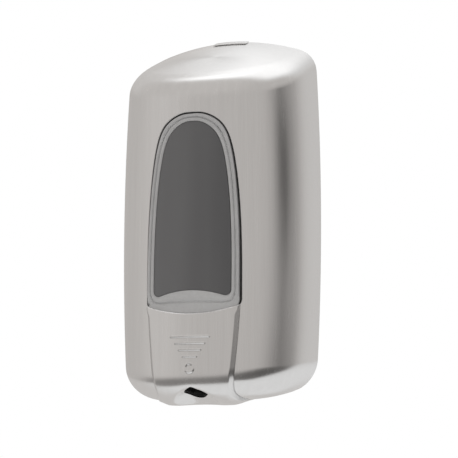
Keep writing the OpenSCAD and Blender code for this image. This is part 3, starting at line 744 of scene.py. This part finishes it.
def outlet_mesh(hole):
    """Black bowl with steep sides, set into the outlet; its very dark, dull material is partly painted shade
    of the deep outlet.
    """
    loop = hole + inward(hole if area(hole) > 0 else hole[::-1])[::1 if area(hole) > 0 else -1] * 0.3

    def cup(p, off):
        xyz = chin(p, np.full(len(p), CHIN_OFF))
        xyz[:, 2] -= np.broadcast_to(off, (len(p),))
        return xyz

    def bowl(q):
        return -0.5 - 3.6 * smooth_step((near(q, loop) - 0.2) / 0.9)

    return plate("outlet_bowl", cup, [loop], bowl, lambda q: bowl(q) - 1.2, 0.45, [0.15])


# ---- small solids ------------------------------------------------------------------------------


def solid(name, boxes, bevel):
    """Bevelled blocks in one object: each is lowest corner, highest corner and the shear of z by y."""
    bm = bmesh.new()
    for lo, hi, shear in boxes:
        lo, hi = Vector(lo) / 1000, Vector(hi) / 1000
        m = Matrix.Translation((lo + hi) / 2) @ Matrix.Diagonal((*(hi - lo), 1))
        new = bmesh.ops.create_cube(bm, size=1, matrix=m)["verts"]
        edges = {e for v in new for e in v.link_edges}
        out = bmesh.ops.bevel(bm, geom=list(edges), offset=bevel / 1000, segments=2, affect="EDGES",
                              profile=0.5)
        done = set(out["verts"]) | {v for v in new if v.is_valid}
        for v in done:
            v.co.z += shear * v.co.y
    mesh = bpy.data.meshes.new(name)
    bm.to_mesh(mesh)
    bm.free()
    mesh.polygons.foreach_set("use_smooth", [True] * len(mesh.polygons))
    obj = bpy.data.objects.new(name, mesh)
    bpy.context.scene.collection.objects.link(obj)
    obj.modifiers.new("corners", "WEIGHTED_NORMAL").keep_sharp = True
    return obj


def thumb_mesh():
    """Thumb piece of the lock, a strip that follows the crown."""
    loop = rounded(np.array([[-13, -11], [13, -11], [13, -1], [-13, -1]]), 1.2)
    return plate("lock_thumb", top_cap, [locate(top_cap, 0.9, even(loop, 0.8))], 0.9, 0.45, 1.2, [0.2])


def lug_mesh():
    """Two lugs inside the cover, each with a bore for its hinge pin."""
    hy, hz, r, bore = -12.0, -128.0, 3.4, 2.05
    b = Builder()
    a = np.radians(np.linspace(0, 180, 19))
    outer = [(hy + r * math.cos(t), hz + r * math.sin(t)) for t in a]
    outer += [(hy - r, hz - 5.6), (hy + r, hz - 5.2)]
    outer = spaced(np.array(outer), 1.0)
    t = np.linspace(0, 2 * np.pi, 33)[:-1]
    inner = np.stack([hy + bore * np.cos(t), hz + bore * np.sin(t)], -1)
    for x in (24.2, -30.6):
        def side(p, off, x=x):
            return np.stack([x + np.broadcast_to(off, (len(p),)), p[:, 0], p[:, 1]], -1)
        plate("", side, [outer, inner[::-1]], 6.4, 0.0, 1.6, [0.25, 0.2], builder=b)
    return b.make("cover_lugs")


# ---- materials ---------------------------------------------------------------------------------


class Mat:
    """A node material on one Principled shader, with short helpers for its textures."""

    def __init__(self, name, **sockets):
        self.mat = bpy.data.materials.new(name)
        self.mat.use_nodes = True
        self.tree = self.mat.node_tree
        self.shader = self.tree.nodes["Principled BSDF"]
        for key, value in sockets.items():
            self.shader.inputs[key.replace("_", " ")].default_value = value
        self.coord = self.tree.nodes.new("ShaderNodeTexCoord")

    def link(self, a, b):
        self.tree.links.new(a, b)

    def noise(self, scale, detail=3.0, rough=0.5):
        m = self.tree.nodes.new("ShaderNodeMapping")
        m.inputs["Scale"].default_value = scale
        self.link(self.coord.outputs["Object"], m.inputs["Vector"])
        n = self.tree.nodes.new("ShaderNodeTexNoise")
        n.inputs["Scale"].default_value = 1.0
        n.inputs["Detail"].default_value = detail
        n.inputs["Roughness"].default_value = rough
        self.link(m.outputs["Vector"], n.inputs["Vector"])
        return n.outputs["Fac"]

    def remap(self, value, a, b, lo=0.3, hi=0.7):
        r = self.tree.nodes.new("ShaderNodeMapRange")
        r.inputs["From Min"].default_value, r.inputs["From Max"].default_value = lo, hi
        r.inputs["To Min"].default_value, r.inputs["To Max"].default_value = a, b
        self.link(value, r.inputs["Value"])
        return r.outputs["Result"]

    def math(self, op, a, b):
        n = self.tree.nodes.new("ShaderNodeMath")
        n.operation = op
        for k, v in enumerate((a, b)):
            if isinstance(v, (int, float)):
                n.inputs[k].default_value = v
            else:
                self.link(v, n.inputs[k])
        return n.outputs[0]

    def colours(self, value, a, b, lo=0.3, hi=0.7):
        r = self.tree.nodes.new("ShaderNodeValToRGB")
        r.color_ramp.elements[0].position, r.color_ramp.elements[0].color = lo, (*a, 1)
        r.color_ramp.elements[1].position, r.color_ramp.elements[1].color = hi, (*b, 1)
        self.link(value, r.inputs["Fac"])
        self.link(r.outputs["Color"], self.shader.inputs["Base Color"])

    def rough(self, value, a, b):
        self.link(self.remap(value, a, b), self.shader.inputs["Roughness"])

    def bump(self, value, distance, strength=1.0):
        n = self.tree.nodes.new("ShaderNodeBump")
        n.inputs["Distance"].default_value = distance
        n.inputs["Strength"].default_value = strength
        self.link(value, n.inputs["Height"])
        self.link(n.outputs["Normal"], self.shader.inputs["Normal"])


def brushed(name, a, b, rough=(0.22, 0.28), bump=0.000012, aniso=0.7):
    """Brushed steel: fine streaks down the front, broader tone changes, small differences in gloss."""
    m = Mat(name, Metallic=1.0, Anisotropic=aniso)
    across = m.tree.nodes.new("ShaderNodeTangent")
    across.direction_type, across.axis = "RADIAL", "Z"
    m.link(across.outputs["Tangent"], m.shader.inputs["Tangent"])
    fine = m.noise((2600, 2600, 26), 2.0, 0.6)
    broad = m.noise((240, 240, 9), 3.0, 0.55)
    mixed = m.math("ADD", m.math("MULTIPLY", fine, 0.55), m.math("MULTIPLY", broad, 0.45))
    m.colours(mixed, a, b, 0.32, 0.68)
    m.rough(mixed, *rough)
    m.bump(fine, bump)
    return m.mat


def grain(name, a, b, rough=(0.42, 0.55), scale=900, bump=0.00002, **sockets):
    """Moulded plastic: fine grain with faint cloudiness."""
    m = Mat(name, **sockets)
    fine = m.noise((scale,) * 3, 2.0)
    cloud = m.noise((45,) * 3, 2.0)
    m.colours(m.math("ADD", m.math("MULTIPLY", fine, 0.4), m.math("MULTIPLY", cloud, 0.6)), a, b)
    m.rough(cloud, *rough)
    m.bump(fine, bump)
    return m.mat


MATS = {
    "cover_steel": brushed("brushed_cover", (0.745, 0.740, 0.735), (0.81, 0.805, 0.80)),
    "pin_steel": brushed("plain_steel", (0.60, 0.60, 0.61), (0.70, 0.70, 0.71), (0.25, 0.4)),
    "clear_plastic": grain("frosted_clear", (0.615, 0.623, 0.632), (0.705, 0.714, 0.723), (0.18, 0.26), 500,
                           0.00001, Transmission_Weight=0.12, IOR=1.49),
    "smoked_pane": None,
    "frame_plastic": grain("dark_moulding", (0.040, 0.042, 0.045), (0.060, 0.062, 0.066)),
    "white_plastic": grain("white_moulding", (0.70, 0.70, 0.67), (0.78, 0.78, 0.75), (0.38, 0.5)),
    # black moulding, made darker than real plastic and with weak reflections: partly painted shade of the
    # deep outlet
    "gloss_black": grain("black_moulding_and_painted_outlet_shade", (0.003, 0.003, 0.003), (0.005, 0.005, 0.005), (0.5, 0.6), 400,
                         0.000004, Specular_IOR_Level=0.2),
    "board_green": grain("circuit_board", (0.010, 0.075, 0.035), (0.018, 0.11, 0.05), (0.3, 0.4), 300),
    "roller_black": grain("roller_black_moulding", (0.02, 0.02, 0.02), (0.035, 0.035, 0.035), (0.35, 0.5)),
    "seal_rubber": grain("seal_rubber_looks", (0.042, 0.042, 0.042), (0.060, 0.060, 0.060), (0.7, 0.85), 1400,
                         0.00003),
    "tank_plastic": grain("milky_tank", (0.62, 0.66, 0.68), (0.70, 0.73, 0.75), (0.25, 0.38), 260, 0.00002,
                          Transmission_Weight=0.35, IOR=1.5),
    "gear_brass": brushed("turned_brass", (0.62, 0.44, 0.18), (0.74, 0.54, 0.24), (0.22, 0.36)),
    "lamp_plastic": grain("lamp_lens", (0.55, 0.68, 0.55), (0.66, 0.78, 0.66), (0.1, 0.2), 300,
                          Transmission_Weight=0.5, IOR=1.49),
    "button_blue": grain("button_moulding", (0.016, 0.05, 0.20), (0.022, 0.065, 0.26), (0.35, 0.45)),
    "cell_wrap": grain("cell_label", (0.44, 0.33, 0.10), (0.52, 0.40, 0.14), (0.25, 0.4), 60, Metallic=0.5),
}


def smoked():
    """Smoke grey pane with broad soft streaks, a little lighter towards its left side: that lightening is a
    painted reflection.
    """
    m = Mat("smoked_clear", IOR=1.49, Specular_IOR_Level=0.5)
    streak = m.noise((60, 60, 3), 2.0, 0.4)
    soft = m.noise((34, 34, 8), 1.5, 0.4)
    place = m.tree.nodes.new("ShaderNodeSeparateXYZ")
    m.link(m.coord.outputs["Object"], place.inputs["Vector"])
    # painted reflection: the pane's colour is made lighter towards its left side
    across = m.remap(place.outputs["X"], 0.55, 0.03, -0.026, 0.026)
    cloud = m.math("ADD", m.math("MULTIPLY", streak, 0.35), m.math("MULTIPLY", soft, 0.35))
    m.colours(m.math("ADD", cloud, across), (0.085, 0.086, 0.091), (0.175, 0.177, 0.182), 0.0, 1.0)
    m.rough(streak, 0.16, 0.22)
    m.bump(m.noise((900, 900, 900), 1.0), 0.000004)
    return m.mat


MATS["smoked_pane"] = smoked()

for item in frame["record"]["subparts"]:
    obj = frame["nodes"].get(item["node"])
    mat = MATS.get(item["material_slot"])
    if obj is None or mat is None:
        continue
    obj.data.materials.clear()
    obj.data.materials.append(mat)

# ---- pieces ------------------------------------------------------------------------------------


def dress(obj, body, slot, *nodes):
    obj.data.materials.append(MATS[slot])
    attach(obj, body)
    if nodes:
        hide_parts(*nodes)


cover = cover_mesh()
dress(cover, "cover", "cover_steel", "cover")
lugs = lug_mesh()
dress(lugs, "cover", "cover_steel")
bezel, pane, flange = window_meshes()
dress(bezel, "cover", "clear_plastic", "window_bezel")
dress(pane, "cover", "smoked_pane", "window_pane")
dress(flange, "cover", "seal_rubber", "window_gasket")
chin_obj, chin_hole = chin_mesh()
dress(chin_obj, "cover", "cover_steel", "chin_panel", "sensor_icon")
bowl = outlet_mesh(chin_hole)
dress(bowl, "cover", "gloss_black", "outlet_cup")
bolt = solid("lock_bolt", [((-16, -18.4, 117), (16, -6.6, 119.3), 0), ((15, -14, 117), (23.4, -10, 119.3), 0),
                           ((-5, -10, 118.5), (5, -4, 132.2), 0.39)], 0.45)
dress(bolt, "lock", "pin_steel", "lock_slider")
dress(thumb_mesh(), "lock", "cover_steel")

# ---- floor, light and camera -------------------------------------------------------------------


def stage_floor():
    mesh = bpy.data.meshes.new("floor")
    bm = bmesh.new()
    below = Matrix.Translation((0, 0, -0.46))
    bmesh.ops.create_circle(bm, cap_ends=True, radius=4.0, segments=96, matrix=below)
    bm.to_mesh(mesh)
    bm.free()
    obj = bpy.data.objects.new("floor", mesh)
    bpy.context.scene.collection.objects.link(obj)
    m = Mat("pale_floor", Roughness=0.8)
    m.colours(m.noise((3, 3, 3), 2.0), (0.80, 0.80, 0.79), (0.84, 0.84, 0.83))
    mesh.materials.append(m.mat)
    obj.visible_glossy = False


def dark_card():
    """A soft edged black card standing at the right, seen only in reflections."""
    mesh = bpy.data.meshes.new("dark_card")
    corners = [(-0.3, 0, -0.1), (0.3, 0, -0.1), (0.3, 0, 0.35), (-0.3, 0, 0.35)]
    mesh.from_pydata(corners, [], [(0, 1, 2, 3)])
    obj = bpy.data.objects.new("dark_card", mesh)
    bpy.context.scene.collection.objects.link(obj)
    obj.location, obj.rotation_euler = (0.549, 0.0625, 0), (0, 0, math.radians(103))
    m = Mat("soft_black_card")
    place = m.tree.nodes.new("ShaderNodeSeparateXYZ")
    m.link(m.coord.outputs["Object"], place.inputs["Vector"])
    across = m.math("MULTIPLY", m.remap(place.outputs["X"], 0, 1, -0.21, -0.05),
                    m.remap(place.outputs["X"], 0, 1, 0.17, 0.03))
    along = m.math("MULTIPLY", m.remap(place.outputs["Z"], 0, 1, -0.02, 0.10),
                   m.remap(place.outputs["Z"], 0, 1, 0.26, 0.16))
    black, clear = m.tree.nodes.new("ShaderNodeEmission"), m.tree.nodes.new("ShaderNodeBsdfTransparent")
    black.inputs["Color"].default_value = (0, 0, 0, 1)
    blend = m.tree.nodes.new("ShaderNodeMixShader")
    m.link(m.math("MULTIPLY", m.math("MULTIPLY", across, along), 0.85), blend.inputs[0])
    m.link(clear.outputs[0], blend.inputs[1])
    m.link(black.outputs[0], blend.inputs[2])
    m.link(blend.outputs[0], m.tree.nodes["Material Output"].inputs["Surface"])
    m.tree.nodes.remove(m.shader)
    mesh.materials.append(m.mat)
    obj.visible_camera = obj.visible_diffuse = obj.visible_shadow = obj.visible_transmission = False


def studio_world():
    """A soft studio: grey in front, bright above and below, dim at the right and under the horizon."""
    world = bpy.data.worlds.new("studio")
    bpy.context.scene.world = world
    world.use_nodes = True
    tree = world.node_tree
    tree.nodes.clear()
    new, link = tree.nodes.new, tree.links.new
    coord = new("ShaderNodeTexCoord")
    split = new("ShaderNodeSeparateXYZ")
    link(coord.outputs["Generated"], split.inputs["Vector"])
    x, y, z = split.outputs

    def put(socket, value):
        if isinstance(value, (int, float)):
            socket.default_value = value
        else:
            link(value, socket)

    def calc(op, a, b=0.0):
        n = new("ShaderNodeMath")
        n.operation = op
        put(n.inputs[0], a)
        put(n.inputs[1], b)
        return n.outputs[0]

    def ramp(value, lo, hi, a=0.0, b=1.0, kind="SMOOTHSTEP"):
        n = new("ShaderNodeMapRange")
        n.interpolation_type = kind
        put(n.inputs["Value"], value)
        for key, v in (("From Min", lo), ("From Max", hi), ("To Min", a), ("To Max", b)):
            n.inputs[key].default_value = v
        return n.outputs["Result"]

    def both(*masks):
        out = masks[0]
        for m in masks[1:]:
            out = calc("MULTIPLY", out, m)
        return out

    def mix(a, b, f):
        return calc("ADD", calc("MULTIPLY", a, calc("SUBTRACT", 1.0, f)), calc("MULTIPLY", b, f))

    turn = calc("MULTIPLY", calc("ARCTAN2", x, calc("MULTIPLY", y, -1.0)), 180 / math.pi)
    away = calc("ABSOLUTE", turn)
    rise = calc("MULTIPLY", calc("ARCSINE", z), 180 / math.pi)
    base = ramp(turn, 135, 160, 0.565, 0.72)
    base = mix(base, 0.65, ramp(turn, -20, -36))
    base = mix(base, 0.58, ramp(turn, -62, -84))
    base = mix(base, 0.62, both(ramp(rise, 20, 50), ramp(turn, 60, 0)))
    # dim side of the studio at the right, darkest in a narrow strip
    base = mix(base, 0.36, both(ramp(turn, 62, 98), ramp(turn, 152, 130), ramp(rise, 32, 12)))
    narrow = both(ramp(turn, 88, 100), ramp(turn, 114, 104), ramp(rise, 32, 12))
    base = mix(base, 0.12, calc("MULTIPLY", narrow, 0.6))
    # light from above and behind, strongest over the middle
    base = mix(base, 0.68, both(ramp(y, 0.05, 0.35), ramp(z, 0.30, 0.46), ramp(x, 0.65, 0.35)))
    sky = both(ramp(y, -0.18, 0.04), ramp(z, 0.35, 0.5), ramp(x, -0.36, -0.22), ramp(x, 0.68, 0.38))
    base = mix(base, ramp(z, 0.50, 0.80, 0.80, 1.30), sky)
    # slim lamp straight above
    lamp = both(ramp(x, -0.50, -0.32), ramp(x, 0.1, -0.1), ramp(y, -0.08, 0.04), ramp(y, 0.24, 0.12),
                ramp(z, 0.4, 0.7))
    base = mix(base, 1.6, calc("MULTIPLY", lamp, 0.85))
    # dark band under the horizon, bright floor below it
    start = ramp(turn, 5, 80, -14, 5)
    under = both(ramp(calc("SUBTRACT", start, rise), 0, 13), ramp(turn, 150, 112), ramp(turn, -112, -60))
    base = mix(base, ramp(turn, -20, 70, 0.26, 0.12), under)
    brink = ramp(away, 55, 145, -44, 0, "LINEAR")
    floor = ramp(turn, -110, -50, 0.68, 0.86)
    base = mix(base, floor, ramp(calc("SUBTRACT", brink, rise), -1.5, 1.5))
    colour = new("ShaderNodeCombineColor")
    put(colour.inputs[0], base)
    put(colour.inputs[1], calc("MULTIPLY", base, ramp(base, 0.60, 0.85, 0.960, 1.0)))
    put(colour.inputs[2], calc("MULTIPLY", base, ramp(base, 0.60, 0.85, 0.930, 1.0)))
    glow = new("ShaderNodeBackground")
    link(colour.outputs[0], glow.inputs["Color"])
    plain = new("ShaderNodeBackground")
    plain.inputs["Color"].default_value = (1, 1, 1, 1)
    path = new("ShaderNodeLightPath")
    pick = new("ShaderNodeMixShader")
    link(path.outputs["Is Camera Ray"], pick.inputs[0])
    link(glow.outputs[0], pick.inputs[1])
    link(plain.outputs[0], pick.inputs[2])
    out = new("ShaderNodeOutputWorld")
    link(pick.outputs[0], out.inputs["Surface"])


def camera():
    data = bpy.data.cameras.new("view")
    obj = bpy.data.objects.new("view", data)
    bpy.context.scene.collection.objects.link(obj)
    az, el, dist = math.radians(17.99), math.radians(-8.39), 1.448
    target = Vector((0, -0.0483, 0))
    back = Vector((math.sin(az) * math.cos(el), -math.cos(az) * math.cos(el), math.sin(el)))
    obj.location = target + back * dist
    look = (-back).to_track_quat("-Z", "Y")
    obj.rotation_euler = (look.to_matrix() @ Matrix.Rotation(math.radians(0.31), 3, "Z")).to_euler()
    data.lens, data.sensor_width = 156.7, 36.0
    data.shift_x, data.shift_y = 0.0354, -0.0486
    data.clip_start, data.clip_end = 0.01, 50
    bpy.context.scene.camera = obj


stage_floor()
dark_card()
studio_world()
camera()
bpy.context.scene.view_settings.view_transform = "Standard"
